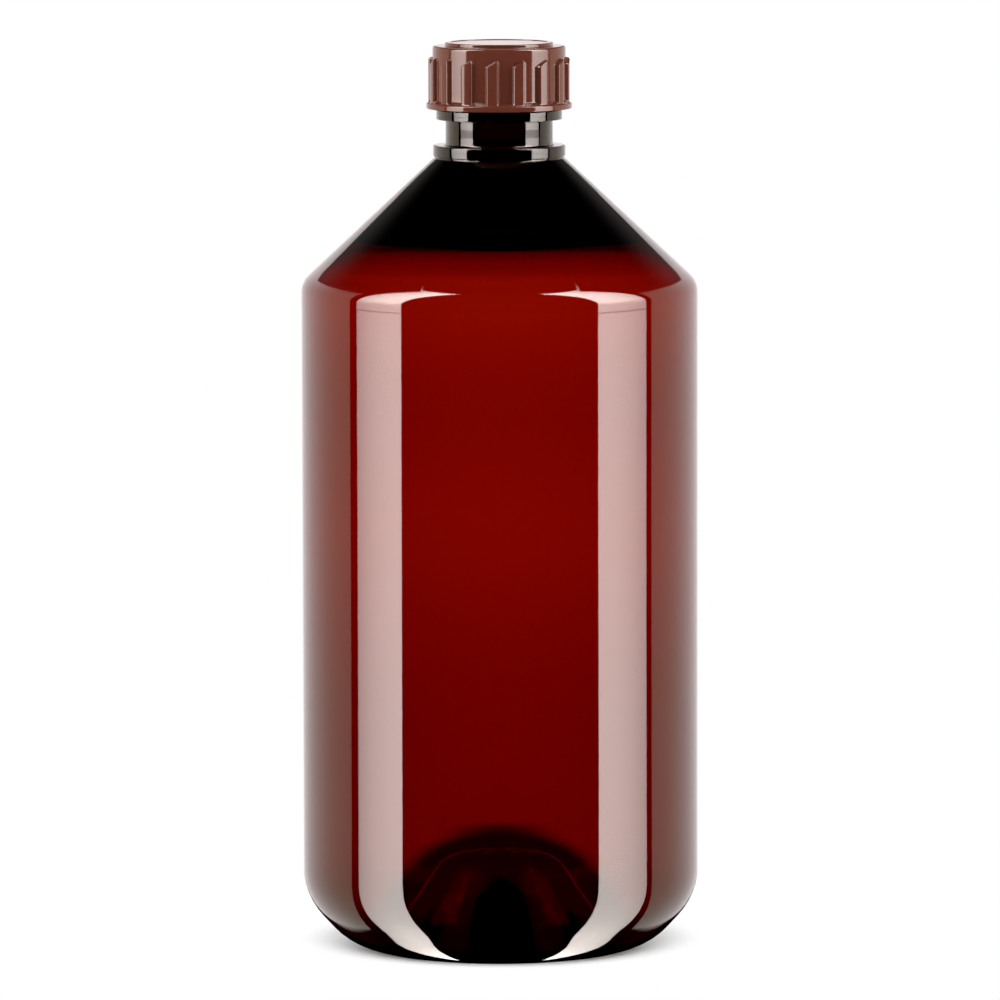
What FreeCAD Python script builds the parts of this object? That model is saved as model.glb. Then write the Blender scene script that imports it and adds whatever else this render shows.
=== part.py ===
import FreeCAD, Part
import math
import os

import Sketcher

# A 1000 ml amber PET bottle with its screw cap and the foam disc that seals it.
# Z points up. The origin is the centre of the standing ring, on the surface that the bottle stands on.

os.makedirs("parts", exist_ok=True)
document = FreeCAD.newDocument("PlasticBottle")

# Driving sizes, in millimetres and degrees
drivingSizes = {
    "bodyDiameter": 92.0,
    "shoulderHeight": 155.6,
    "shoulderRounding": 5.3,
    "coneAngle": 43.06,
    "heelInset": 11.5,
    "heelAngle": 47.4,
    "heelRounding": 16.2,
    "footBevel": 4.2,
    "standRingWidth": 4.5,
    "pushUpHeight": 20.0,
    "pushUpAngle": 56.0,
    "gateRadius": 2.2,
    "gateLength": 1.6,
    "bodyWall": 0.45,
    "heelWall": 0.7,
    "footWall": 0.9,
    "pushUpWall": 1.3,
    "gateWall": 3.0,
    "coneWall": 2.4,
    "coneThinRise": 4.2,
    "coneThinLength": 6.8,
    "supportRingReach": 2.9,
    "supportRingThickness": 3.2,
    "supportRingLip": 0.4,
    "neckDiameter": 24.9,
    "neckGap": 6.0,
    "beadReach": 2.15,
    "beadEdge": 0.7,
    "beadTaper": 0.45,
    "beadFlank": 1.5,
    "beadTop": 3.5,
    "finishHeight": 20.5,
    "neckWall": 1.6,
    "threadDepth": 1.25,
    "linerThickness": 1.0,
    "linerClearance": 0.25,
    "capClearance": 0.25,
    "capWall": 1.5,
    "capTopThickness": 1.5,
    "capLift": 2.5,
    "capEdgeBevel": 0.6,
    "capLeadIn": 0.75,
    "flangeReach": 1.45,
    "flangeEdge": 1.2,
    "flangeSlope": 0.85,
    "topRingInset": 2.9,
    "topRingWidth": 1.3,
    "topRingHeight": 0.8,
    "topRecess": 0.5,
    "ribCount": 16,
    "ribWidth": 3.2,
    "ribReach": 0.93,
    "ribMargin": 2.65,
    "ribSlopeDrop": 1.55,
    "ribTipWidth": 0.55,
    "ribTipDrop": 0.45,
    "ribDraft": 1.0,
    "ribRoot": 0.5,
    "ribTurn": 5.65,
}

sheet = document.addObject("Spreadsheet::Sheet", "Sizes")
for row, (alias, value) in enumerate(drivingSizes.items(), start=1):
    sheet.set(f"A{row}", alias)
    sheet.set(f"B{row}", str(value))
    sheet.setAlias(f"B{row}", alias)
document.recompute()

# Places that several outlines share, each worked out from the sheet
bodyRadius = "(Sizes.bodyDiameter / 2)"
heelFoot = f"({bodyRadius} - Sizes.heelInset)"
heelTop = "(Sizes.heelInset * tan(Sizes.heelAngle))"
standOuter = f"({heelFoot} - Sizes.footBevel)"
standInner = f"({standOuter} - Sizes.standRingWidth)"
bevelAcross = f"({heelFoot} + Sizes.footBevel * cos(Sizes.heelAngle))"
bevelUp = "(Sizes.footBevel * sin(Sizes.heelAngle))"
wallFoot = f"({heelTop} + Sizes.heelRounding * tan(45 - Sizes.heelAngle / 2))"
shoulderReach = "(Sizes.shoulderRounding * tan(45 - Sizes.coneAngle / 2))"
pushUpRadius = f"({standInner} - Sizes.pushUpHeight / tan(Sizes.pushUpAngle))"
neckRadius = "(Sizes.neckDiameter / 2)"
mouthRadius = f"({neckRadius} - Sizes.neckWall)"
beadRadius = f"({neckRadius} + Sizes.beadReach)"
supportRadius = f"({neckRadius} + Sizes.supportRingReach)"
supportUnder = f"(Sizes.shoulderHeight + ({bodyRadius} - {supportRadius}) * tan(Sizes.coneAngle))"
supportTop = f"({supportUnder} + Sizes.supportRingThickness)"
beadUnder = f"({supportTop} + Sizes.neckGap)"
rimHeight = f"({supportTop} + Sizes.finishHeight)"
linerTop = f"({rimHeight} + Sizes.linerThickness)"
capFace = f"({linerTop} + Sizes.capTopThickness)"
capFoot = f"({beadUnder} + Sizes.capLift)"
capBore = f"({neckRadius} + Sizes.threadDepth + Sizes.capClearance)"
capRadius = f"({capBore} + Sizes.capWall)"
flangeRadius = f"({capRadius} + Sizes.flangeReach)"
topRingRadius = f"({capRadius} - Sizes.topRingInset)"
ribFoot = f"({capFoot} + Sizes.flangeEdge + Sizes.flangeSlope)"
ribHeight = f"({capFace} - Sizes.ribMargin - {ribFoot})"


def numberOf(expression):
    """The value of an expression in millimetres or as a plain number."""
    result = sheet.evalExpression(expression)
    return float(getattr(result, "Value", result))


def roundingOf(before, corner, after, radius):
    """Centre, start angle and end angle of the arc that rounds a corner, and where it leaves each side."""
    back = (before - corner).normalize()
    ahead = (after - corner).normalize()
    halfAngle = back.getAngle(ahead) / 2
    reach = radius / math.tan(halfAngle)
    first = corner + back * reach
    last = corner + ahead * reach
    centre = corner + (back + ahead).normalize() * (radius / math.sin(halfAngle))
    turnsLeft = (corner - before).cross(after - corner).z > 0
    start, end = (first, last) if turnsLeft else (last, first)
    startAngle = math.atan2(start.y - centre.y, start.x - centre.x)
    endAngle = math.atan2(end.y - centre.y, end.x - centre.x)
    if endAngle < startAngle:
        endAngle += 2 * math.pi
    return centre, startAngle, endAngle, first, last, turnsLeft


def bind(sketch, kind, where, expression, name):
    """Adds a dimension to a sketch and binds it to an expression."""
    index = sketch.addConstraint(Sketcher.Constraint(kind, *where, numberOf(expression)))
    sketch.renameConstraint(index, name)
    sketch.setExpression(f"Constraints.{name}", expression)


def fixPoint(sketch, geometry, end, across, up, name):
    """Ties a point to its distances from the origin."""
    if across is None:
        sketch.addConstraint(Sketcher.Constraint("PointOnObject", geometry, end, -2))
    else:
        bind(sketch, "DistanceX", (-1, 1, geometry, end), across, f"{name}Across")
    if up is None:
        sketch.addConstraint(Sketcher.Constraint("PointOnObject", geometry, end, -1))
    else:
        bind(sketch, "DistanceY", (-1, 1, geometry, end), up, f"{name}Up")


def drawOutline(sketch, corners):
    """A closed outline through corners (name, across, up, rounding); None is zero, or a sharp corner."""
    points = [
        FreeCAD.Vector(numberOf(across) if across else 0, numberOf(up) if up else 0, 0)
        for name, across, up, rounding in corners
    ]
    count = len(corners)
    entries = list(points)
    exits = list(points)
    arcs = {}
    for i, (name, across, up, rounding) in enumerate(corners):
        if rounding:
            radius = numberOf(rounding)
            found = roundingOf(points[i - 1], points[i], points[(i + 1) % count], radius)
            centre, startAngle, endAngle, entries[i], exits[i], turnsLeft = found
            circle = Part.Circle(centre, FreeCAD.Vector(0, 0, 1), radius)
            arc = sketch.addGeometry(Part.ArcOfCircle(circle, startAngle, endAngle), False)
            arcs[i] = (arc, turnsLeft)
    lines = [
        sketch.addGeometry(Part.LineSegment(exits[i], entries[(i + 1) % count]), False)
        for i in range(count)
    ]
    for i, (name, across, up, rounding) in enumerate(corners):
        incoming = lines[i - 1]
        outgoing = lines[i]
        if i in arcs:
            arc, turnsLeft = arcs[i]
            near, far = (1, 2) if turnsLeft else (2, 1)
            sketch.addConstraint(Sketcher.Constraint("Tangent", incoming, 2, arc, near))
            sketch.addConstraint(Sketcher.Constraint("Tangent", arc, far, outgoing, 1))
            bind(sketch, "Radius", (arc,), rounding, f"{name}Rounding")
            corner = sketch.addGeometry(Part.Point(points[i]), True)
            sketch.addConstraint(Sketcher.Constraint("PointOnObject", corner, 1, incoming))
            sketch.addConstraint(Sketcher.Constraint("PointOnObject", corner, 1, outgoing))
            fixPoint(sketch, corner, 1, across, up, name)
        else:
            sketch.addConstraint(Sketcher.Constraint("Coincident", incoming, 2, outgoing, 1))
            fixPoint(sketch, outgoing, 1, across, up, name)


def newBody(label):
    body = document.addObject("PartDesign::Body", label)
    body.Label = label
    return body


def originFeature(body, role):
    return next(feature for feature in body.Origin.OriginFeatures if feature.Role == role)


def sketchOn(body, role, name):
    """A sketch on one of the body's own origin planes."""
    sketch = body.newObject("Sketcher::SketchObject", name)
    sketch.AttachmentSupport = (originFeature(body, role), [""])
    sketch.MapMode = "FlatFace"
    return sketch


def turnOutline(body, kind, name, corners):
    """Turns a half section about the vertical axis, as a solid or as a cut."""
    sketch = sketchOn(body, "XZ_Plane", f"{name}Outline")
    drawOutline(sketch, corners)
    feature = body.newObject(kind, name)
    feature.Profile = sketch
    feature.ReferenceAxis = (sketch, ["V_Axis"])
    feature.Angle = 360
    document.recompute()
    return feature


def conePoint(height, wall):
    """The inside of the cone, a wall in from the outer skin's point at a height."""
    across = (f"{bodyRadius} - ({height} - Sizes.shoulderHeight) / tan(Sizes.coneAngle)"
              f" - {wall} * sin(Sizes.coneAngle)")
    up = f"{height} - {wall} * cos(Sizes.coneAngle)"
    return across, up


def insideCorner(across, up, slopes, walls):
    """The hollow's corner at a corner of the skin, from the slope of both sides and the wall on each."""
    before, after = slopes
    wallBefore, wallAfter = walls
    turn = f"sin({after} - {before})"
    return (f"{across} + ({wallBefore} * cos({after}) - {wallAfter} * cos({before})) / {turn}",
            f"{up} + ({wallBefore} * sin({after}) - {wallAfter} * sin({before})) / {turn}")


def buildBottle():
    """One blown piece: the outer skin is turned, then the hollow is cut from it."""
    body = newBody("bottle")
    outside = [
        ("gateCentre", None, "Sizes.pushUpHeight - Sizes.gateLength", None),
        ("gateEdge", "Sizes.gateRadius", "Sizes.pushUpHeight - Sizes.gateLength", None),
        ("gateRoot", "Sizes.gateRadius", "Sizes.pushUpHeight", None),
        ("pushUpTop", pushUpRadius, "Sizes.pushUpHeight", None),
        ("standInner", standInner, None, None),
        ("standOuter", standOuter, None, None),
        ("bevelTop", bevelAcross, bevelUp, None),
        ("heelTop", bodyRadius, heelTop, "Sizes.heelRounding"),
        ("shoulder", bodyRadius, "Sizes.shoulderHeight", "Sizes.shoulderRounding"),
        ("coneEnd", f"{supportRadius} - Sizes.supportRingLip",
         f"{supportUnder} + Sizes.supportRingLip * tan(Sizes.coneAngle)", None),
        ("supportLip", supportRadius, f"{supportUnder} + 2 * Sizes.supportRingLip", None),
        ("supportEdge", supportRadius, supportTop, None),
        ("supportInner", neckRadius, supportTop, None),
        ("beadInner", neckRadius, beadUnder, None),
        ("beadUnder", beadRadius, beadUnder, None),
        ("beadEdge", beadRadius, f"{beadUnder} + Sizes.beadEdge", None),
        ("beadTop", f"{beadRadius} - Sizes.beadTaper",
         f"{beadUnder} + Sizes.beadEdge + Sizes.beadFlank", None),
        ("beadFlank", neckRadius, f"{beadUnder} + Sizes.beadTop", None),
        ("rimOuter", neckRadius, rimHeight, None),
        ("rimCentre", None, rimHeight, None),
    ]
    turnOutline(body, "PartDesign::Revolution", "BottleSkin", outside)

    pushUpSlope = "(-Sizes.pushUpAngle)"
    bevelSlope = "(Sizes.heelAngle / 2)"
    domeEdge = insideCorner(pushUpRadius, "Sizes.pushUpHeight",
                            ("0", pushUpSlope), ("Sizes.gateWall", "Sizes.pushUpWall"))
    valleyInner = insideCorner(standInner, "0", (pushUpSlope, "0"), ("Sizes.footWall", "Sizes.footWall"))
    valleyOuter = insideCorner(standOuter, "0", ("0", bevelSlope), ("Sizes.footWall", "Sizes.footWall"))
    heelLow = insideCorner(bevelAcross, bevelUp,
                           (bevelSlope, "Sizes.heelAngle"), ("Sizes.footWall", "Sizes.heelWall"))
    heelReach = "(Sizes.heelRounding - Sizes.heelWall)"
    heelTurn = "(45 + Sizes.heelAngle / 2)"
    thinEnd = "(Sizes.shoulderHeight + Sizes.coneThinRise)"
    insideRadius = f"({bodyRadius} - Sizes.bodyWall)"
    shoulderEnd = f"(Sizes.shoulderHeight + {shoulderReach} * sin(Sizes.coneAngle))"
    neckInside = (f"Sizes.shoulderHeight + ({bodyRadius} - {mouthRadius}) * tan(Sizes.coneAngle)"
                  " - Sizes.coneWall / cos(Sizes.coneAngle)")
    # Inside, short straight slopes follow the rounded corners of the skin
    hollow = [
        ("domeCentre", None, "Sizes.pushUpHeight + Sizes.gateWall", None),
        ("domeEdge", *domeEdge, None),
        ("valleyInner", *valleyInner, None),
        ("valleyOuter", *valleyOuter, None),
        ("heelLow", *heelLow, None),
        ("heelHigh", f"{bodyRadius} - Sizes.heelRounding + {heelReach} * sin({heelTurn})",
         f"{wallFoot} - {heelReach} * cos({heelTurn})", None),
        ("wallFoot", insideRadius, wallFoot, None),
        ("wallTop", insideRadius, f"Sizes.shoulderHeight - {shoulderReach}", None),
        ("shoulderInside", *conePoint(shoulderEnd, "Sizes.bodyWall"), None),
        ("thinEnd", *conePoint(thinEnd, "Sizes.bodyWall"), None),
        ("thickEnd", *conePoint(f"({thinEnd} + Sizes.coneThinLength)", "Sizes.coneWall"), None),
        ("neckInside", mouthRadius, neckInside, None),
        ("mouthAbove", mouthRadius, linerTop, None),
        ("mouthCentre", None, linerTop, None),
    ]
    solidVolume = body.Shape.Volume
    turnOutline(body, "PartDesign::Groove", "BottleHollow", hollow)
    print("hollow, ml:", round((solidVolume - body.Shape.Volume) / 1000, 1))
    return body


def buildLiner():
    """A foam disc as wide as the cap's bore lets it be."""
    body = newBody("sealing_liner")
    sketch = sketchOn(body, "XY_Plane", "LinerOutline")
    circle = Part.Circle(FreeCAD.Vector(0, 0, 0), FreeCAD.Vector(0, 0, 1), 1)
    disc = sketch.addGeometry(circle, False)
    sketch.addConstraint(Sketcher.Constraint("Coincident", disc, 3, -1, 1))
    bind(sketch, "Radius", (disc,), f"{capBore} - Sizes.linerClearance", "linerRadius")
    pad = body.newObject("PartDesign::Pad", "LinerDisc")
    pad.Profile = sketch
    pad.setExpression("Length", "Sizes.linerThickness")
    body.setExpression("Placement.Base.z", rimHeight)
    document.recompute()
    return body


def buildRib(body):
    """One grip rib with its slanted top, pushed outwards through the shell and repeated round it."""
    sketch = sketchOn(body, "XZ_Plane", "RibOutline")
    halfWidth = "Sizes.ribWidth / 2"
    sketch.AttachmentOffset = FreeCAD.Placement(
        FreeCAD.Vector(0, 0, 0), FreeCAD.Rotation(FreeCAD.Vector(-1, 0, 0), 1))
    sketch.setExpression("AttachmentOffset.Rotation.Angle", "Sizes.ribDraft * 1 deg")
    sketch.setExpression("AttachmentOffset.Base.y", ribFoot)
    sketch.setExpression("AttachmentOffset.Base.z", f"{capRadius} - Sizes.ribRoot")
    drawOutline(sketch, [
        ("footLeft", f"-{halfWidth}", "-Sizes.flangeSlope", None),
        ("footRight", halfWidth, "-Sizes.flangeSlope", None),
        ("tipRight", halfWidth, f"{ribHeight} - Sizes.ribTipDrop", None),
        ("tip", f"{halfWidth} - Sizes.ribTipWidth", ribHeight, None),
        ("slopeLow", f"-{halfWidth}", f"{ribHeight} - Sizes.ribSlopeDrop", None),
    ])
    pad = body.newObject("PartDesign::Pad", "Rib")
    pad.Profile = sketch
    pad.setExpression("Length", "Sizes.ribRoot + Sizes.ribReach")
    document.recompute()
    pattern = body.newObject("PartDesign::PolarPattern", "Ribs")
    pattern.Originals = [pad]
    pattern.Axis = (originFeature(body, "Z_Axis"), [""])
    pattern.Angle = 360
    pattern.setExpression("Occurrences", "Sizes.ribCount")
    body.Tip = pattern
    document.recompute()
    return pattern


def buildCap():
    """One moulded piece: the shell with its flange and top ring is turned, then the ribs are added."""
    body = newBody("screw_cap")
    shell = [
        ("boreTop", None, linerTop, None),
        ("boreCorner", capBore, linerTop, None),
        ("leadTop", capBore, f"{capFoot} + Sizes.capLeadIn", None),
        ("leadFoot", f"{capBore} + Sizes.capLeadIn", capFoot, None),
        ("flangeFoot", flangeRadius, capFoot, None),
        ("flangeEdge", flangeRadius, f"{capFoot} + Sizes.flangeEdge", None),
        ("shellFoot", capRadius, ribFoot, None),
        ("shellTop", capRadius, f"{capFace} - Sizes.capEdgeBevel", None),
        ("faceEdge", f"{capRadius} - Sizes.capEdgeBevel", capFace, None),
        ("ringFoot", topRingRadius, capFace, None),
        ("ringOuter", topRingRadius, f"{capFace} + Sizes.topRingHeight", None),
        ("ringInner", f"{topRingRadius} - Sizes.topRingWidth", f"{capFace} + Sizes.topRingHeight", None),
        ("recessEdge", f"{topRingRadius} - Sizes.topRingWidth",
         f"{capFace} + Sizes.topRingHeight - Sizes.topRecess", None),
        ("recessCentre", None, f"{capFace} + Sizes.topRingHeight - Sizes.topRecess", None),
    ]
    turnOutline(body, "PartDesign::Revolution", "CapShell", shell)
    buildRib(body)
    body.Placement.Rotation = FreeCAD.Rotation(FreeCAD.Vector(0, 0, 1), 0)
    body.setExpression("Placement.Rotation.Angle", "-Sizes.ribTurn * 1 deg")
    document.recompute()
    return body


def check(bodies):
    """Stops with a message where an object failed or a solid isn't whole."""
    for item in document.Objects:
        if "Invalid" in item.State or "Error" in item.State:
            raise RuntimeError(f"{item.Name} failed: {item.State}")
    for body in bodies:
        shape = body.Shape
        if shape.isNull() or not shape.isValid() or len(shape.Solids) != 1:
            raise RuntimeError(f"{body.Label} isn't one whole solid")
        print(body.Label, "volume", round(shape.Volume, 1), "box", shape.BoundBox)


bodies = [buildBottle(), buildLiner(), buildCap()]
document.recompute()
check(bodies)
for body in bodies:
    body.Shape.exportStep(f"parts/{body.Label}.step")
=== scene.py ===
import math

import bpy
import numpy as np
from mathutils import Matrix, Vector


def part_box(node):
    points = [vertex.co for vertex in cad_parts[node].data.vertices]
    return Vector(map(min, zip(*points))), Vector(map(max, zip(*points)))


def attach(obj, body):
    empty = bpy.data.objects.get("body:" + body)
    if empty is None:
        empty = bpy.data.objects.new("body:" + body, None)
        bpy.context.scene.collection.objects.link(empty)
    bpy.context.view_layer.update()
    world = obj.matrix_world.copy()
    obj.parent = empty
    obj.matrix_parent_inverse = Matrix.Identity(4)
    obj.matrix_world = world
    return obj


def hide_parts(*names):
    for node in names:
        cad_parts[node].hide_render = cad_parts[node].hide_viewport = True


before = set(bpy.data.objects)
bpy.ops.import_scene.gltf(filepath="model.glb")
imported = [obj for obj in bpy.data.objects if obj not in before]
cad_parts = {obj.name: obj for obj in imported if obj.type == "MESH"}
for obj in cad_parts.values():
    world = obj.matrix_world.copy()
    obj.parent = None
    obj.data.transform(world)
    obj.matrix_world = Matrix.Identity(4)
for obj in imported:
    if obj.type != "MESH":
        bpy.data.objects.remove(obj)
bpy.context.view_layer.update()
mm = 0.001
fullTurn = 2 * math.pi
print("frame loaded")

# Sizes that several pieces share, in millimetres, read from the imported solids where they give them
bottleLow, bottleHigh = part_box("bottle")
linerLow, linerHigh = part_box("sealing_liner")
capLow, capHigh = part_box("screw_cap")
bodyRadius = bottleHigh.x / mm
rimHeight = bottleHigh.z / mm
capFoot = capLow.z / mm
capTop = capHigh.z / mm
linerTop = linerHigh.z / mm
threadLead = 3.18
threadTurns = 1.7
threadTaper = 0.09  # in turns, at both ends
near = 0.001  # heights this close count as equal


class Sock:
    # A shader socket that Python's operators work on; each operation adds one node.

    def __init__(self, tree, socket):
        self.tree = tree
        self.socket = socket

    def math(self, operation, *values):
        settings = {"operation": operation}
        inputs = {i: value for i, value in enumerate((self, *values))}
        return self.tree.node("ShaderNodeMath", settings, inputs)[0]

    def __add__(self, other):
        return self.math("ADD", other)

    def __radd__(self, other):
        return self.math("ADD", other)

    def __sub__(self, other):
        return self.math("SUBTRACT", other)

    def __rsub__(self, other):
        return (self * -1).math("ADD", other)

    def __mul__(self, other):
        return self.math("MULTIPLY", other)

    def __rmul__(self, other):
        return self.math("MULTIPLY", other)

    def __truediv__(self, other):
        return self.math("DIVIDE", other)

    def __rtruediv__(self, other):
        return self.math("POWER", -1).math("MULTIPLY", other)

    def sqrt(self):
        return self.math("SQRT")

    def absolute(self):
        return self.math("ABSOLUTE")

    def step(self, low, high):
        # Zero below low, one above high, and a smooth rise between them.
        return self.tree.node(
            "ShaderNodeMapRange",
            {"interpolation_type": "SMOOTHSTEP", "clamp": True},
            {"Value": self, "From Min": low, "From Max": high, "To Min": 0.0, "To Max": 1.0})[0]


class Tree:
    # A material's or world's node tree, emptied and ready for expressions.

    def __init__(self, owner):
        owner.use_nodes = True
        self.nodes = owner.node_tree.nodes
        self.links = owner.node_tree.links
        self.nodes.clear()

    def node(self, kind, settings=None, inputs=None):
        # Adds a node: its settings first, then the values or links of its sockets.
        made = self.nodes.new(kind)
        for name, value in (settings or {}).items():
            setattr(made, name, value)
        for key, value in (inputs or {}).items():
            target = made.inputs[key]
            if isinstance(value, Sock):
                self.links.new(value.socket, target)
            else:
                target.default_value = value
        return [Sock(self, output) for output in made.outputs]

    def place(self):
        # Object coordinates, split into across, back and up.
        coordinates = self.node("ShaderNodeTexCoord")[3]
        return coordinates, *self.node("ShaderNodeSeparateXYZ", None, {0: coordinates})

    def noise(self, vector, scale, detail=2.0, roughness=0.5):
        return self.node(
            "ShaderNodeTexNoise", None,
            {"Vector": vector, "Scale": scale, "Detail": detail, "Roughness": roughness})[0]

    def stretch(self, vector, factors):
        # The coordinates scaled differently along each direction.
        return self.node(
            "ShaderNodeVectorMath", {"operation": "MULTIPLY"}, {0: vector, 1: factors})[0]

    def blend(self, factor, first, second):  # a colour between two colours
        return self.node("ShaderNodeMix", {"data_type": "RGBA"}, {0: factor, 6: first, 7: second})[2]

    def rays(self):  # whether the ray is the camera's, a reflection, or came through something clear
        path = self.node("ShaderNodeLightPath")
        named = {sock.socket.name: sock for sock in path}
        mirrored = named["Is Glossy Ray"] * named["Is Reflection Ray"]
        return named["Is Camera Ray"], mirrored, named["Is Transmission Ray"]

    def bump(self, height, distance, strength):
        return self.node(
            "ShaderNodeBump", None, {"Height": height, "Distance": distance, "Strength": strength})[0]

    def finish(self, surface, volume=None, kind="ShaderNodeOutputMaterial"):
        inputs = {"Surface": surface}
        if volume is not None:
            inputs["Volume"] = volume
        self.node(kind, None, inputs)


def newMaterial(name):
    material = bpy.data.materials.new(name)
    return material, Tree(material)


def roundedProfile(corners, perQuarter=10):
    # A profile of straight runs whose corners are rounded.
    # Each corner is (radius, height, rounding). An arc leaves each side at rounding / tan(half angle)
    # from the corner, and its points are evenly spaced along the turn.
    points = np.array([corner[:2] for corner in corners], dtype=float)
    pieces = [points[:1]]
    for i in range(1, len(corners) - 1):
        rounding = corners[i][2]
        corner = points[i]
        if not rounding:
            pieces.append(corner[None])
            continue
        back = points[i - 1] - corner
        ahead = points[i + 1] - corner
        back /= np.linalg.norm(back)
        ahead /= np.linalg.norm(ahead)
        halfAngle = math.acos(np.clip(back @ ahead, -1, 1)) / 2
        reach = rounding / math.tan(halfAngle)
        middle = back + ahead
        centre = corner + middle / np.linalg.norm(middle) * rounding / math.sin(halfAngle)
        turn = math.pi - 2 * halfAngle
        count = max(3, math.ceil(perQuarter * turn / (math.pi / 2)) + 1)
        share = np.linspace(0, 1, count)[:, None]
        start = (corner + back * reach - centre) / rounding
        end = (corner + ahead * reach - centre) / rounding
        pieces.append(
            centre + rounding * (np.sin((1 - share) * turn) * start + np.sin(share * turn) * end)
            / math.sin(turn))
    pieces.append(points[-1:])
    return np.vstack(pieces)


def refine(profile, longest):
    # Splits each run of a profile into equal parts no longer than a length.
    steps = np.linalg.norm(np.diff(profile, axis=0), axis=1)
    counts = np.maximum(1, np.ceil(steps / longest).astype(int))
    starts = np.repeat(profile[:-1], counts, axis=0)
    spans = np.repeat(np.diff(profile, axis=0), counts, axis=0)
    order = np.arange(counts.sum()) - np.repeat(np.cumsum(counts) - counts, counts)
    share = order / np.repeat(counts, counts)
    return np.vstack([starts + spans * share[:, None], profile[-1:]])


def turned(profile, columns):
    # A profile's radius and height, repeated in columns round the axis.
    return np.repeat(profile[:, :1], columns, axis=1), np.repeat(profile[:, 1:], columns, axis=1)


def splitRun(stops, counts):
    # Evenly spaced values from each stop to the next, a count to each, without the last stop.
    return np.concatenate([
        np.linspace(start, end, count, endpoint=False)
        for start, end, count in zip(stops, stops[1:], counts)])


def gridMesh(name, radius, angle, height):
    # A closed surface of turning from a grid of rows (along the profile) and columns (round the axis).
    # A point is (radius sin angle, -radius cos angle, height), so angle 0 is the front and grows to the
    # right. The first and last rows lie on the axis and become one point each.
    rows, columns = radius.shape
    across = radius * np.sin(angle)
    back = -radius * np.cos(angle)
    points = np.stack([across, back, np.broadcast_to(height, radius.shape)], axis=-1) * mm
    inner = points[1:-1].reshape(-1, 3)
    first = points[0].mean(axis=0)
    last = points[-1].mean(axis=0)
    vertices = np.vstack([inner, first, last])
    row = np.arange(rows - 3)[:, None] * columns
    column = np.arange(columns)[None, :]
    follow = (column + 1) % columns
    quads = np.stack([row + column, row + follow, row + columns + follow, row + columns + column],
                     axis=-1).reshape(-1, 4)
    around = np.arange(columns)
    onward = (around + 1) % columns
    lastRow = (rows - 3) * columns
    firstFan = np.stack([onward, around, np.full(columns, len(inner))], axis=-1)
    lastFan = np.stack([lastRow + around, lastRow + onward, np.full(columns, len(inner) + 1)], axis=-1)
    mesh = bpy.data.meshes.new(name)
    mesh.from_pydata(vertices, [], quads.tolist() + firstFan.tolist() + lastFan.tolist())
    mesh.polygons.foreach_set("use_smooth", np.ones(len(mesh.polygons), dtype=bool))
    mesh.update()
    piece = bpy.data.objects.new(name, mesh)
    bpy.context.scene.collection.objects.link(piece)
    return piece


def smooth(value, low, high):
    # Zero below low, one above high, and 3s^2 - 2s^3 between them.
    share = np.clip((value - low) / (high - low), 0, 1)
    return share * share * (3 - 2 * share)


def threadRidge(angle, height, middle, length, crest, flank):
    # A screw ridge's rise, from 0 to 1: a trapezium across the lead, tapered to nothing at both ends.
    # The ridge's middle climbs by the lead in each turn; the distance from it along the axis gives the
    # rise, one inside half the crest and none past the flank.
    turn = (height - middle) / threadLead - angle / fullTurn
    offset = (turn - np.round(turn)) * threadLead
    along = angle / fullTurn + np.round(turn)
    body = 1 - smooth(np.abs(offset), crest / 2, crest / 2 + flank)
    ends = smooth(along, 0, threadTaper) * (1 - smooth(along, length - threadTaper, length))
    return body * ends


# Bottle: one closed skin, outside and inside, turned about the axis
bottleSizes = {
    "columns": 200, "arcPoints": 12, "outsideStep": 2.5, "insideStep": 4.0, "threadStep": 0.16,
    "gateRadius": 2.2, "gateLength": 1.6, "gateRounding": 0.35,
    "pushUpHeight": 20.0, "pushUpAngle": 56.0, "pushUpRounding": 6.0,
    "standInner": 25.8, "standRounding": 2.5,
    "heelInset": 11.5, "heelAngle": 47.4, "heelRounding": 16.2,
    "shoulderHeight": 155.6, "shoulderRounding": 5.3, "coneAngle": 43.06,
    "neckRadius": 12.45, "mouthRadius": 10.85,
    "supportRadius": 15.35, "supportThickness": 3.2, "supportLip": 0.4, "supportRounding": 0.35,
    "lipUnderRounding": 0.25, "lipRounding": 0.3, "supportRoot": 0.5,
    "neckGap": 6.0, "beadRadius": 14.6, "beadEdge": 2.1, "beadFlank": 0.5, "beadTaper": 0.3,
    "beadTop": 3.5, "beadRoot": 0.4, "beadUnderRounding": 0.2, "beadRounding": 0.3,
    "beadFlankRounding": 0.35, "beadTopRoot": 0.3,
    "rimRounding": 0.5, "rimFlat": 0.5, "mouthRounding": 0.45, "neckBlend": 4.0,
    "threadRadius": 13.7, "threadStart": 199.4, "threadCrest": 0.8, "threadFlank": 0.5,
    "threadMargin": 1.2,
    "gateWall": 3.0, "pushUpWall": 1.3, "footWall": 0.9, "heelWall": 0.7, "coneWall": 2.4,
    "wallHigh": 0.36, "wallUpper": 0.455, "wallMiddle": 0.415, "wallLower": 0.52, "wallLow": 0.55,
    "upperLevel": 128.0, "middleLevel": 97.0, "lowerLevel": 58.0, "wallBlend": 300.0,
    "thinTop": 159.5, "toeTop": 166.0, "toeWall": 0.72, "thickFoot": 169.8,
    "thinBlend": 3.0, "thickBlend": 2.0,
    "valleyRounding": 1.2, "domeFoot": 3.6, "domeRise": 0.15, "domeBlend": 5.0,
}


def insideOf(corner, slopes, walls):
    # Where two skins meet that lie a wall in from the two sides of a corner.
    before, after = (math.radians(slope) for slope in slopes)
    wallBefore, wallAfter = walls
    turn = math.sin(after - before)
    return (corner[0] + (wallBefore * math.cos(after) - wallAfter * math.cos(before)) / turn,
            corner[1] + (wallBefore * math.sin(after) - wallAfter * math.sin(before)) / turn)


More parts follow.
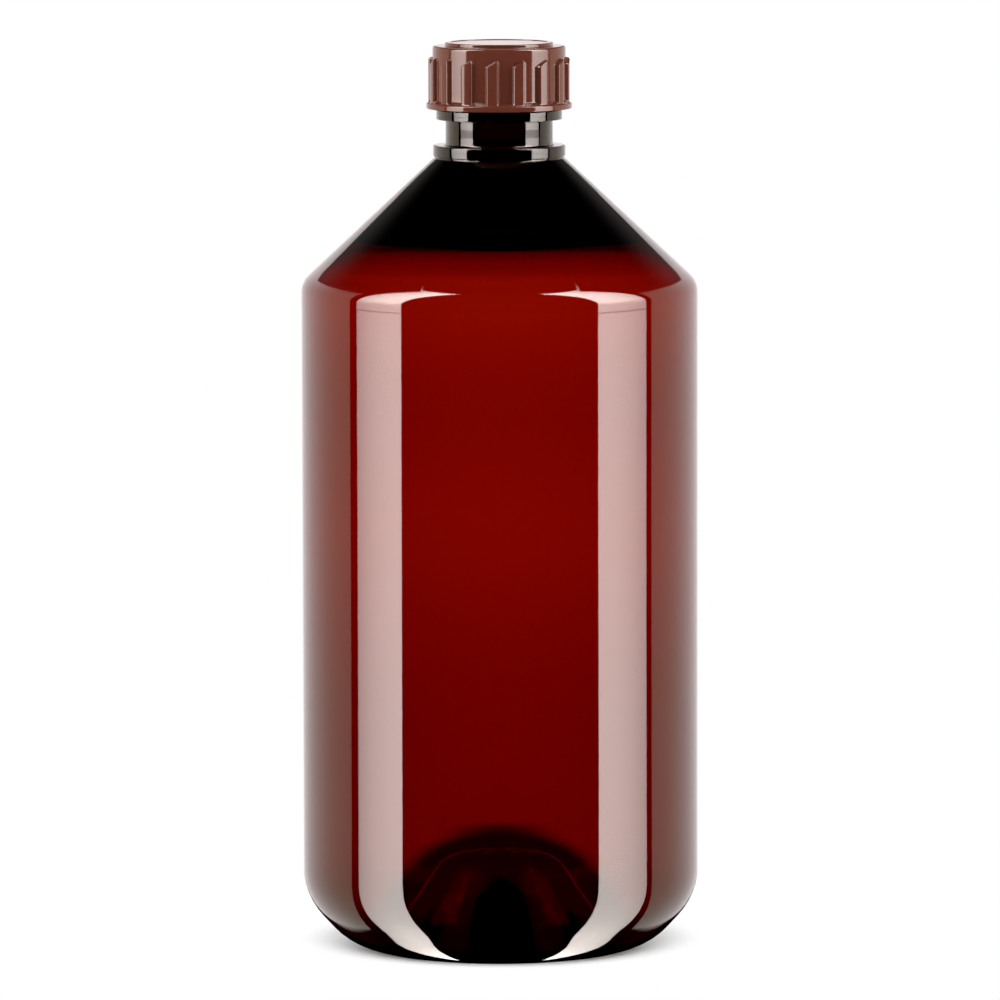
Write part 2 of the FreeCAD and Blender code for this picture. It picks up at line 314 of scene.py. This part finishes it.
def bottlePlaces(s):
    # The cone's rise for a step inwards, the heel's top, and the push-up wall's reach inwards.
    rise = math.tan(math.radians(s["coneAngle"]))
    heelTop = s["heelInset"] * math.tan(math.radians(s["heelAngle"]))
    pushUpFoot = s["pushUpHeight"] / math.tan(math.radians(s["pushUpAngle"]))
    return rise, heelTop, pushUpFoot


def bottleOutside(s):
    # From the middle of the push-up, under the foot and up the outside, to the rim.
    rise, heelTop, pushUpFoot = bottlePlaces(s)
    supportUnder = s["shoulderHeight"] + (bodyRadius - s["supportRadius"]) * rise
    lipUnder = supportUnder + s["supportLip"] * rise
    supportTop = supportUnder + s["supportThickness"]
    beadUnder = supportTop + s["neckGap"]
    flankTop = beadUnder + s["beadEdge"] + s["beadFlank"]
    gateEnd = s["pushUpHeight"] - s["gateLength"]
    corners = [
        (0, gateEnd, 0),
        (s["gateRadius"], gateEnd, s["gateRounding"]),
        (s["gateRadius"], s["pushUpHeight"], s["gateRounding"]),
        (s["standInner"] - pushUpFoot, s["pushUpHeight"], s["pushUpRounding"]),
        (s["standInner"], 0, s["standRounding"]),
        (bodyRadius - s["heelInset"], 0, s["heelRounding"]),
        (bodyRadius, heelTop, s["heelRounding"]),
        (bodyRadius, s["shoulderHeight"], s["shoulderRounding"]),
        (s["supportRadius"] - s["supportLip"], lipUnder, s["lipUnderRounding"]),
        (s["supportRadius"], supportUnder + 2 * s["supportLip"], s["lipRounding"]),
        (s["supportRadius"], supportTop, s["supportRounding"]),
        (s["neckRadius"], supportTop, s["supportRoot"]),
        (s["neckRadius"], beadUnder, s["beadRoot"]),
        (s["beadRadius"], beadUnder, s["beadUnderRounding"]),
        (s["beadRadius"], beadUnder + s["beadEdge"], s["beadRounding"]),
        (s["beadRadius"] - s["beadTaper"], flankTop, s["beadFlankRounding"]),
        (s["neckRadius"], beadUnder + s["beadTop"], s["beadTopRoot"]),
        (s["neckRadius"], s["threadStart"] - s["threadMargin"], 0),
        (s["neckRadius"], rimHeight - s["threadMargin"], 0),
        (s["neckRadius"], rimHeight, s["rimRounding"]),
        (s["mouthRadius"] + s["rimFlat"], rimHeight, 0),
    ]
    return roundedProfile(corners, s["arcPoints"])


def bottleInside(s):
    # From the rim down to the middle of the push-up, a wall in from the outer skin.
    slope = s["coneAngle"]
    rise, heelTop, pushUpFoot = bottlePlaces(s)

    def coneInside(height, wall):
        across = bodyRadius - (height - s["shoulderHeight"]) / rise
        return (across - wall * math.sin(math.radians(slope)),
                height - wall * math.cos(math.radians(slope)))

    neckInside = (s["shoulderHeight"] + (bodyRadius - s["mouthRadius"]) * rise
                  - s["coneWall"] / math.cos(math.radians(slope)))
    shoulder = insideOf((bodyRadius, s["shoulderHeight"]), (90, 180 - slope),
                        (s["wallHigh"], s["wallHigh"]))
    heelUpper = insideOf((bodyRadius, heelTop), (s["heelAngle"], 90), (s["heelWall"], s["wallLow"]))
    heelLower = insideOf((bodyRadius - s["heelInset"], 0), (0, s["heelAngle"]),
                         (s["footWall"], s["heelWall"]))
    valley = insideOf((s["standInner"], 0), (-s["pushUpAngle"], 0), (s["footWall"], s["footWall"]))
    dome = insideOf((s["standInner"] - pushUpFoot, s["pushUpHeight"]), (0, -s["pushUpAngle"]),
                    (s["pushUpWall"], s["pushUpWall"]))
    corners = [
        (s["mouthRadius"] + s["rimFlat"], rimHeight, 0),
        (s["mouthRadius"], rimHeight, s["mouthRounding"]),
        (s["mouthRadius"], neckInside, s["neckBlend"]),
        (*coneInside(s["thickFoot"], s["coneWall"]), s["thickBlend"]),
        (*coneInside(s["toeTop"], s["toeWall"]), s["thinBlend"]),
        (*coneInside(s["thinTop"], s["wallHigh"]), s["thinBlend"]),
        (*shoulder, s["shoulderRounding"] - s["wallHigh"]),
        (bodyRadius - s["wallUpper"], s["upperLevel"], s["wallBlend"]),
        (bodyRadius - s["wallMiddle"], s["middleLevel"], s["wallBlend"]),
        (bodyRadius - s["wallLower"], s["lowerLevel"], s["wallBlend"]),
        (*heelUpper, s["heelRounding"] - s["heelWall"]),
        (*heelLower, s["heelRounding"] - s["heelWall"]),
        (*valley, s["valleyRounding"]),
        (*dome, s["pushUpRounding"] + s["pushUpWall"]),
        (s["domeFoot"], s["pushUpHeight"] + s["pushUpWall"] + s["domeRise"], s["domeBlend"]),
        (0, s["pushUpHeight"] + s["gateWall"], 0),
    ]
    return roundedProfile(corners, s["arcPoints"])


def buildBottle():
    # The skin's profile turned about the axis, with the screw thread raised on the neck.
    # The radius is the profile's, plus the thread's depth times the ridge's rise.
    s = bottleSizes
    profile = np.vstack([refine(bottleOutside(s), s["outsideStep"]),
                         refine(bottleInside(s), s["insideStep"])[1:]])
    outside = np.arange(len(profile)) < np.argmax(profile[:, 1] >= rimHeight - near)
    low = s["threadStart"] - s["threadMargin"] - near
    high = rimHeight - s["threadMargin"] + near
    onNeck = outside & (profile[:, 1] > low) & (profile[:, 1] < high)
    first, last = np.flatnonzero(onNeck)[[0, -1]]
    finish = refine(profile[first:last + 1], s["threadStep"])
    profile = np.vstack([profile[:first], finish, profile[last + 1:]])
    angle = np.arange(s["columns"]) / s["columns"] * fullTurn
    radius, height = turned(profile, s["columns"])
    angles = np.broadcast_to(angle, radius.shape)
    ridge = threadRidge(angles, height, s["threadStart"], threadTurns, s["threadCrest"],
                        s["threadFlank"])
    rows = np.zeros((len(profile), 1))
    rows[first:first + len(finish)] = 1
    radius = radius + rows * ridge * (s["threadRadius"] - s["neckRadius"])
    piece = gridMesh("bottle_skin", radius, angles, height)
    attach(piece, "bottle")
    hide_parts("bottle")
    return piece


bottle = buildBottle()
print("bottle made")


# Liner: a foam disc, rounded at its edge, with the ring that the rim has pressed into it
linerSizes = {
    "columns": 128, "arcPoints": 8, "step": 2.0,
    "radius": linerHigh.x / mm, "edge": 0.2, "dent": 0.12, "dentEdge": 0.35, "dentRounding": 0.3,
}


def buildLiner():
    # A turned disc; the rim's dent lifts the underside between the mouth and the neck's skin.
    s = linerSizes
    low = linerLow.z / mm
    inner = bottleSizes["mouthRadius"]
    outer = bottleSizes["neckRadius"]
    corners = [
        (0, low, 0),
        (inner - s["dentEdge"], low, s["dentRounding"]),
        (inner, low + s["dent"], s["dentRounding"]),
        (outer, low + s["dent"], s["dentRounding"]),
        (outer + s["dentEdge"], low, s["dentRounding"]),
        (s["radius"], low, s["edge"]),
        (s["radius"], linerTop, s["edge"]),
        (0, linerTop, 0),
    ]
    profile = refine(roundedProfile(corners, s["arcPoints"]), s["step"])
    angle = np.arange(s["columns"]) / s["columns"] * fullTurn
    radius, height = turned(profile, s["columns"])
    piece = gridMesh("foam_liner", radius, np.broadcast_to(angle, radius.shape), height)
    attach(piece, "liner")
    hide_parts("sealing_liner")
    return piece


liner = buildLiner()
print("liner made")


# Cap: one closed skin with its ribs, flange, top ring, bore and thread
capSizes = {
    "arcPoints": 7, "step": 0.5, "boreStep": 0.2,
    "bore": 13.95, "shell": 15.45, "flange": 16.9, "flangeEdge": 1.2, "flangeSlope": 0.85,
    "leadIn": 0.75, "faceDrop": 0.8, "recess": 0.12, "ringOuter": 12.55, "ringInner": 11.25,
    "boreRounding": 0.3, "mouthRounding": 0.15, "flangeFootRounding": 0.25, "flangeRounding": 0.3,
    "edgeRounding": 0.6, "ringRoot": 0.15, "ringRounding": 0.25,
    "ribCount": 16, "ribRadius": 16.38, "ribWidth": 3.2, "ribTurn": 5.65,
    "ribEdge": 0.46, "ribSteep": 0.16, "ribBevel": 0.6,
    "ribLow": 206.24, "ribRise": 1.55, "ribTipWidth": 0.55, "ribTipDrop": 0.45,
    "ribTopDepth": 0.3, "ribTopEdge": 0.1,
    "ribColumns": (7, 6, 7, 6), "ribMargin": 0.004, "gapMargin": 0.15,
    "ribLevels": (-1.2, -0.35, 0.15, 1.2), "ribRows": (6, 6, 12, 4, 5),
    "carryFull": -1.0, "carryFall": 1.2,
    "threadDepth": 1.05, "threadCrest": 0.6, "threadFlank": 0.45,
}


def ribAcross(s, angle):
    # The distance from the nearest rib's middle, and how far the rib stands out there, from 0 to 1.
    # Across a rib the rise is a flat top, a bevel down to a share of it, and a steep side to nothing.
    pitch = fullTurn / s["ribCount"]
    pitches = (angle + math.radians(s["ribTurn"])) / pitch
    offset = (pitches - np.round(pitches)) * pitch * s["ribRadius"]
    half = s["ribWidth"] / 2
    sides = np.interp(np.abs(offset), [half - s["ribEdge"], half - s["ribSteep"], half],
                      [1, s["ribBevel"], 0])
    return offset, sides


def buildCap():
    # The cap's half section turned about the axis, with ribs outside and a thread inside.
    # Rows run along the section. Beside the ribs, each row is shifted up or down with the slanted end
    # of the rib, so that the end's edge follows the rows.
    s = capSizes
    face = capTop - s["faceDrop"]
    ribFoot = capFoot + s["flangeEdge"] + s["flangeSlope"]
    corners = [
        (0, linerTop, 0),
        (s["bore"], linerTop, s["boreRounding"]),
        (s["bore"], capFoot + s["leadIn"], s["boreRounding"]),
        (s["bore"] + s["leadIn"], capFoot, s["mouthRounding"]),
        (s["flange"], capFoot, s["flangeFootRounding"]),
        (s["flange"], capFoot + s["flangeEdge"], s["flangeRounding"]),
        (s["shell"], ribFoot, s["flangeRounding"]),
        (s["shell"], face, s["edgeRounding"]),
        (s["ringOuter"], face, s["ringRoot"]),
        (s["ringOuter"], capTop, s["ringRounding"]),
        (s["ringInner"], capTop, s["recess"] / 2),
        (s["ringInner"], capTop - s["recess"], s["recess"] / 3),
        (0, capTop - s["recess"], 0),
    ]
    profile = refine(roundedProfile(corners, s["arcPoints"]), s["step"])
    order = np.arange(len(profile))
    turnPoint = np.argmin(profile[:, 1])
    bore = (order < turnPoint) & (np.abs(profile[:, 0] - s["bore"]) < near)
    shell = (order > turnPoint) & (np.abs(profile[:, 0] - s["shell"]) < near)
    boreFirst, boreLast = np.flatnonzero(bore)[[0, -1]]
    shellFirst, shellLast = np.flatnonzero(shell)[[0, -1]]
    boreRun = refine(profile[[boreFirst, boreLast]], s["boreStep"])
    low = profile[shellFirst, 1]
    high = profile[shellLast, 1]
    knots = [low, *(s["ribLow"] + level for level in s["ribLevels"]), high]
    levels = np.append(splitRun(knots, s["ribRows"]), high)
    shellRun = np.stack([np.full(len(levels), s["shell"]), levels], axis=-1)
    profile = np.vstack([profile[:boreFirst], boreRun, profile[boreLast + 1:shellFirst], shellRun,
                         profile[shellLast + 1:]])
    boreRows = slice(boreFirst, boreFirst + len(boreRun))
    shellStart = boreFirst + len(boreRun) + shellFirst - boreLast - 1
    shellRows = slice(shellStart, shellStart + len(shellRun))
    onSlope = (np.arange(len(profile)) < shellStart) & (profile[:, 1] > capFoot + s["flangeEdge"])
    slopeStart = boreRows.stop + np.argmax(onSlope[boreRows.stop:])

    # Columns crowd at the sides of each rib
    pitch = fullTurn / s["ribCount"]
    half = s["ribWidth"] / 2 / s["ribRadius"]
    edge = s["ribEdge"] / s["ribRadius"]
    stops = [-half - s["ribMargin"], -half + edge, half - edge, half + s["ribMargin"]]
    oneRib = splitRun([*stops, pitch + stops[0]], s["ribColumns"])
    middles = np.arange(s["ribCount"]) * pitch - math.radians(s["ribTurn"])
    angle = (middles[:, None] + oneRib[None, :]).ravel()
    columns = len(angle)
    radius, height = turned(profile, columns)
    angles = np.broadcast_to(angle, radius.shape).copy()

    # Ribs
    offset, sides = ribAcross(s, angles[shellRows])
    reach = s["ribRadius"] - s["shell"]
    halfWidth = s["ribWidth"] / 2
    climb = np.clip((offset + halfWidth) / (s["ribWidth"] - s["ribTipWidth"]), 0, 1) * s["ribRise"]
    drop = np.clip((offset - halfWidth + s["ribTipWidth"]) / s["ribTipWidth"], 0, 1) * s["ribTipDrop"]
    gapHalf = pitch * s["ribRadius"] / 2
    fall = smooth(np.abs(offset), halfWidth + s["gapMargin"], gapHalf)
    line = (climb - drop) * (1 - fall) + s["ribRise"] / 2 * fall
    level = height[shellRows]
    carry = (smooth(level, low, s["ribLow"] + s["carryFull"])
             * (1 - smooth(level, s["ribLow"] + s["carryFall"], high)))
    ribEnd = [s["ribLow"] - s["ribTopDepth"], s["ribLow"], s["ribLow"] + s["ribTopEdge"]]
    length = np.interp(level, ribEnd, [1, s["ribBevel"], 0])
    radius[shellRows] += sides * length * reach
    height[shellRows] += line * carry
    slope = slice(slopeStart, shellStart)
    radius[slope] = np.maximum(radius[slope], s["shell"] + sides[:1] * reach)

    # Thread in the bore, half a lead from the bottle's
    ridge = threadRidge(angles[boreRows], height[boreRows], bottleSizes["threadStart"] + threadLead / 2,
                        threadTurns, s["threadCrest"], s["threadFlank"])
    radius[boreRows] -= ridge * s["threadDepth"]

    piece = gridMesh("cap_shell", radius, angles, height)
    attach(piece, "cap")
    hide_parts("screw_cap")
    return piece


cap = buildCap()
print("cap made")


# Finishes
petFinish = {
    "ior": 1.575, "roughness": 0.015, "fineRoughness": 0.02, "fineScale": 900.0,
    "tintLight": (1.0, 0.98, 0.96, 1), "tintDark": (0.97, 0.94, 0.9, 1),
    "absorption": (0.8525, 0.375, 0.0, 1.0), "density": 12000.0,
    "waveScale": 14.0, "waveStretch": (1.0, 1.0, 0.35), "waveHeight": 0.0012, "waveStrength": 0.25,
    "blownEnd": (0.176, 0.182),
}


def finishPet():
    # Clear amber plastic: the wall's thickness gives the depth of its colour.
    # A slow noise, longer along the axis than round it, waves the blown skin a little; the neck,
    # which isn't blown, has none.
    s = petFinish
    material, tree = newMaterial("amber_pet_gloss")
    coordinates, *_, up = tree.place()
    slow = tree.noise(tree.stretch(coordinates, s["waveStretch"]), s["waveScale"], 1.0)
    fine = tree.noise(coordinates, s["fineScale"], 1.0)
    blown = 1 - up.step(*s["blownEnd"])
    normal = tree.bump(slow * blown, s["waveHeight"], s["waveStrength"])
    tint = tree.blend(fine, s["tintLight"], s["tintDark"])
    surface = tree.node("ShaderNodeBsdfPrincipled", None, {
        "Base Color": tint, "Roughness": s["roughness"] + fine * s["fineRoughness"], "IOR": s["ior"],
        "Transmission Weight": 1.0, "Normal": normal})[0]
    volume = tree.node(
        "ShaderNodeVolumeAbsorption", None, {"Color": s["absorption"], "Density": s["density"]})[0]
    tree.finish(surface, volume)
    return material


capFinish = {
    "dark": (0.085, 0.021, 0.012, 1), "light": (0.1, 0.026, 0.016, 1),
    "roughness": 0.02, "mottleRoughness": 0.06, "grainRoughness": 0.03, "ior": 1.49,
    "mottleScale": 160.0, "grainScale": 5200.0, "grainHeight": 0.00001, "grainStrength": 0.3,
}


def finishCap():
    # Moulded satin plastic: a fine grain, slow mottling, and roughness that follows both.
    s = capFinish
    material, tree = newMaterial("brown_cap_satin")
    coordinates = tree.place()[0]
    mottle = tree.noise(coordinates, s["mottleScale"], 3.0)
    grain = tree.noise(coordinates, s["grainScale"], 2.0)
    colour = tree.blend(mottle, s["dark"], s["light"])
    surface = tree.node("ShaderNodeBsdfPrincipled", None, {
        "Base Color": colour,
        "Roughness": s["roughness"] + mottle * s["mottleRoughness"] + grain * s["grainRoughness"],
        "IOR": s["ior"], "Normal": tree.bump(grain, s["grainHeight"], s["grainStrength"])})[0]
    tree.finish(surface)
    return material


linerFinish = {
    "light": (0.86, 0.85, 0.82, 1), "dark": (0.72, 0.7, 0.66, 1), "cells": 2600.0,
    "roughness": 0.8, "cellRoughness": 0.1, "cellHeight": 0.00005, "cellStrength": 0.4,
}


def finishLiner():
    # Fine closed-cell foam: small cells give its colour and its bump.
    s = linerFinish
    material, tree = newMaterial("liner_foam_cells")
    coordinates = tree.place()[0]
    cells = tree.node("ShaderNodeTexVoronoi", None, {"Vector": coordinates, "Scale": s["cells"]})[0]
    colour = tree.blend(cells, s["light"], s["dark"])
    surface = tree.node("ShaderNodeBsdfPrincipled", None, {
        "Base Color": colour, "Roughness": s["roughness"] + cells * s["cellRoughness"],
        "Normal": tree.bump(1 - cells, s["cellHeight"], s["cellStrength"])})[0]
    tree.finish(surface)
    return material


for piece, material in ((bottle, finishPet()), (cap, finishCap()), (liner, finishLiner())):
    piece.data.materials.append(material)
print("finishes made")


# Studio: a white card behind, two tall strip lamps at the sides, and a white floor with a shadow
# painted where it is seen through the bottle
studio = {
    "floorRadius": 3.0, "floorColour": 0.88, "fadeStart": 0.037, "fadeEnd": 0.0475, "shadeBack": 0.012,
    # Painted shadow on the floor as seen through the bottle: the oval's size and soft edge, then how
    # far round the foot it stays dark
    "paintedShadowAcross": 0.028, "paintedShadowBack": 0.178, "paintedShadowEdge": 0.98, "paintedShadowClear": 1.16,
    "footShadowFrom": 0.02, "footShadowTo": 0.06,
    "ambient": 0.75,
    "lampDistance": 1.0, "lampAzimuth": 75.5, "lampSpan": 33.0, "lampLow": -0.4, "lampHigh": 2.0,
    "lampRadiance": 5.0,
    "stripColour": (1.0, 0.9, 0.845, 1), "stripRadiance": 8.9, "stripFall": 0.52, "neckDim": 0.52,
    "stripThrough": 0.08, "stripRise": 0.8, "riseFrom": (-0.05, 0.25), "edgeSoft": 0.006,
    "innerEdge": -0.6, "innerBend": 0.19, "innerTurn": 0.04, "innerRise": 0.18,
    "outerEdge": 0.02, "outerMore": 0.055, "outerBend": 0.5, "outerTurn": 0.3, "outerRise": 0.08,
    "flare": 0.2, "flareFrom": (0.88, 0.92), "stripEnd": (0.9, 0.915),
    "neckFrom": (0.0655, 0.0665), "neckTo": (0.0705, 0.0725),
    "cardNear": (0.98, 0.84, 0.66, 1), "cardFar": (1.12, 1.03, 1.02, 1), "cardTurnsFar": (0.3, 0.95),
    "cardEdge": 0.123, "cardMore": 0.03, "cardBend": 0.6, "cardTurn": 0.2,
    "cardLevel": (0.151, 0.156), "cardUnder": 0.67, "cardUnderSoft": (0.0, 0.04),
    "cardSlope": 0.95, "cardCurve": 0.42, "cardLowest": 0.1, "cardTopSoft": 0.008, "cardTopDim": 0.91,
    "cardFade": (0.35, 0.65),
    "overheadGlow": 0.75, "overheadSide": (0.27, 0.33), "overheadBack": (0.15, 0.35),
    "overheadUp": (0.12, 0.4),
    "behindBack": (0.0, 0.25), "behindUp": (0.02, 0.08),
}


def buildFloor():
    # A disc that the camera sees white, with the shadow under the bottle kept.
    # Reflections pass it. Through the bottle it glows white, with a painted shadow: it stays dark
    # inside an oval about the axis, narrow across and long front to back, and close round the foot.
    s = studio
    columns = 96
    angle = np.arange(columns) / columns * fullTurn
    ring = np.stack([np.sin(angle), -np.cos(angle), np.zeros(columns)], axis=-1) * s["floorRadius"]
    mesh = bpy.data.meshes.new("studio_floor")
    mesh.from_pydata(ring, [], [list(range(columns))])
    floor = bpy.data.objects.new("studio_floor", mesh)
    bpy.context.scene.collection.objects.link(floor)
    material, tree = newMaterial("studio_floor")
    across, back = tree.place()[1:3]
    distance = (across * across + back * back).sqrt()
    shade = back - s["shadeBack"]
    far = (across * across + shade * shade).sqrt().step(s["fadeStart"], s["fadeEnd"])
    # The oval of painted shadow about the axis, one at its edge
    paintedShadowOval = ((across / s["paintedShadowAcross"]).math("POWER", 2.0)
            + (back / s["paintedShadowBack"]).math("POWER", 2.0)).sqrt()
    direct, glossy, through = tree.rays()
    matte = tree.node("ShaderNodeBsdfDiffuse", None, {"Color": (s["floorColour"],) * 3 + (1,)})[0]
    white = tree.node("ShaderNodeEmission", None, {"Strength": 1.0})[0]
    # What the bottle shows of the floor: white emission, dark in the painted shadow of the oval and
    # round the foot
    throughPaintedShadow = tree.node(
        "ShaderNodeEmission", None,
        {"Strength": paintedShadowOval.step(s["paintedShadowEdge"], s["paintedShadowClear"])
         * distance.step(s["footShadowFrom"], s["footShadowTo"])})[0]
    shown = tree.node("ShaderNodeMixShader", None, {0: far * direct, 1: matte, 2: white})[0]
    shown = tree.node("ShaderNodeMixShader", None, {0: through, 1: shown, 2: throughPaintedShadow})[0]
    clear = tree.node("ShaderNodeBsdfTransparent")[0]
    tree.finish(tree.node("ShaderNodeMixShader", None, {0: glossy, 1: shown, 2: clear})[0])
    mesh.materials.append(material)


def buildWorld():
    # White to the camera and through the bottle; reflections see the strips, the card and the dark.
    # A direction is (across, back, up). Each edge is a straight line in level directions. Below level
    # it bends towards the back by a share of down squared, as the strips and the card do there.
    s = studio
    world = bpy.data.worlds.new("studio")
    bpy.context.scene.world = world
    world.cycles.sampling_method = "NONE"
    tree = Tree(world)
    direction = tree.node("ShaderNodeTexCoord")[0]
    across, back, up = tree.node("ShaderNodeSeparateXYZ", None, {0: direction})
    side = across.absolute()
    onRight = across.math("GREATER_THAN", 0.0)
    below = up * -1
    down = below.math("MAXIMUM", 0.0)
    rise = up.math("MAXIMUM", 0.0)

    def bend(share, turn):  # how far an edge moves to the back below level
        return down * down * share / (side + down * turn + 0.0001)

    def past(value, soft):  # one where a value is over zero, with a soft edge
        return value.step(-soft, soft)

    stripInner = (side * s["innerEdge"] + bend(s["innerBend"], s["innerTurn"])
                  - rise * rise * s["innerRise"])
    stripOuter = (side * (s["outerEdge"] + onRight * s["outerMore"])
                  + bend(s["outerBend"], s["outerTurn"])
                  - rise * s["outerRise"] + rise.step(*s["flareFrom"]) * s["flare"])
    strip = (past(back - stripInner, s["edgeSoft"]) * past(stripOuter - back, s["edgeSoft"])
             * (1 - up.step(*s["stripEnd"])))
    stripLevel = 1 - below.step(*s["neckFrom"]) * (1 - below.step(*s["neckTo"])) * s["neckDim"]
    brighter = 1 + up.step(*s["riseFrom"]) * s["stripRise"]
    outward = ((back - stripInner) / (stripOuter - stripInner + 0.0001)).math("MINIMUM", 1.0)
    cardEdge = side * (s["cardEdge"] + onRight * s["cardMore"]) + bend(s["cardBend"], s["cardTurn"])
    level = 1 - down.step(*s["cardLevel"])
    cardTop = (side * s["cardSlope"] - side * side * s["cardCurve"]).math("MAXIMUM", s["cardLowest"])
    card = (past(back - cardEdge, s["edgeSoft"])
            * (side - down * s["cardUnder"]).step(*s["cardUnderSoft"]).math("MAXIMUM", level)
            * (1 - past(up - cardTop, s["cardTopSoft"]) * s["cardTopDim"])
            * (1 - up.step(*s["cardFade"])))
    overhead = ((1 - side.step(*s["overheadSide"])) * back.step(*s["overheadBack"])
                * up.step(*s["overheadUp"]) * s["overheadGlow"])
    cardColour = tree.blend(back.step(*s["cardTurnsFar"]), s["cardNear"], s["cardFar"])
    direct, glossy, through = tree.rays()
    behind = back.step(*s["behindBack"]) * (1 - up.step(*s["behindUp"]))
    seen = direct + through * behind
    plain = seen + (1 - (direct + glossy + through).math("MINIMUM", 1.0)) * s["ambient"]
    backgrounds = [
        tree.node("ShaderNodeBackground", None, {"Color": colour, "Strength": strength})[0]
        for colour, strength in (
            ((1, 1, 1, 1), plain),
            (s["stripColour"], (glossy + through * s["stripThrough"]) * strip * stripLevel
             * brighter * (1 - outward * outward * s["stripFall"]) * s["stripRadiance"]),
            (cardColour, glossy * card.math("MAXIMUM", overhead)))]
    both = tree.node("ShaderNodeAddShader", None, {0: backgrounds[0], 1: backgrounds[1]})[0]
    light = tree.node("ShaderNodeAddShader", None, {0: both, 1: backgrounds[2]})[0]
    tree.finish(light, kind="ShaderNodeOutputWorld")


def buildLamps():
    # Two tall lamps that face the axis, as far round from the camera's direction on each side.
    s = studio
    for name, side in (("lamp_left", -1), ("lamp_right", 1)):
        light = bpy.data.lights.new(name, "AREA")
        light.shape = "RECTANGLE"
        light.size = 2 * s["lampDistance"] * math.tan(math.radians(s["lampSpan"] / 2))
        light.size_y = s["lampHigh"] - s["lampLow"]
        light.energy = s["lampRadiance"] * light.size * light.size_y * math.pi
        lamp = bpy.data.objects.new(name, light)
        azimuth = math.radians(s["lampAzimuth"]) * side
        lamp.location = (s["lampDistance"] * math.sin(azimuth), -s["lampDistance"] * math.cos(azimuth),
                         (s["lampHigh"] + s["lampLow"]) / 2)
        lamp.rotation_euler = (math.pi / 2, 0, azimuth)
        lamp.visible_camera = False
        lamp.visible_glossy = False  # the strips are in the world's reflections
        lamp.visible_transmission = False
        bpy.context.scene.collection.objects.link(lamp)


# Camera: where the photograph was taken from
cameraSizes = {
    "distance": 2.0909, "height": 0.3311, "pitch": 6.182, "roll": 0.125,
    "lens": 325.4, "sensor": 36.0, "clipStart": 0.05, "clipEnd": 50.0,
}


def buildCamera():
    s = cameraSizes
    data = bpy.data.cameras.new("camera")
    data.lens = s["lens"]
    data.sensor_width = s["sensor"]
    data.clip_start = s["clipStart"]
    data.clip_end = s["clipEnd"]
    camera = bpy.data.objects.new("camera", data)
    camera.location = (0, -s["distance"], s["height"])
    camera.rotation_mode = "ZYX"
    camera.rotation_euler = (math.radians(90 - s["pitch"]), 0, math.radians(-s["roll"]))
    bpy.context.scene.collection.objects.link(camera)
    bpy.context.scene.camera = camera


buildFloor()
buildWorld()
buildLamps()
buildCamera()
bpy.context.scene.view_settings.view_transform = "Standard"
print("studio made")
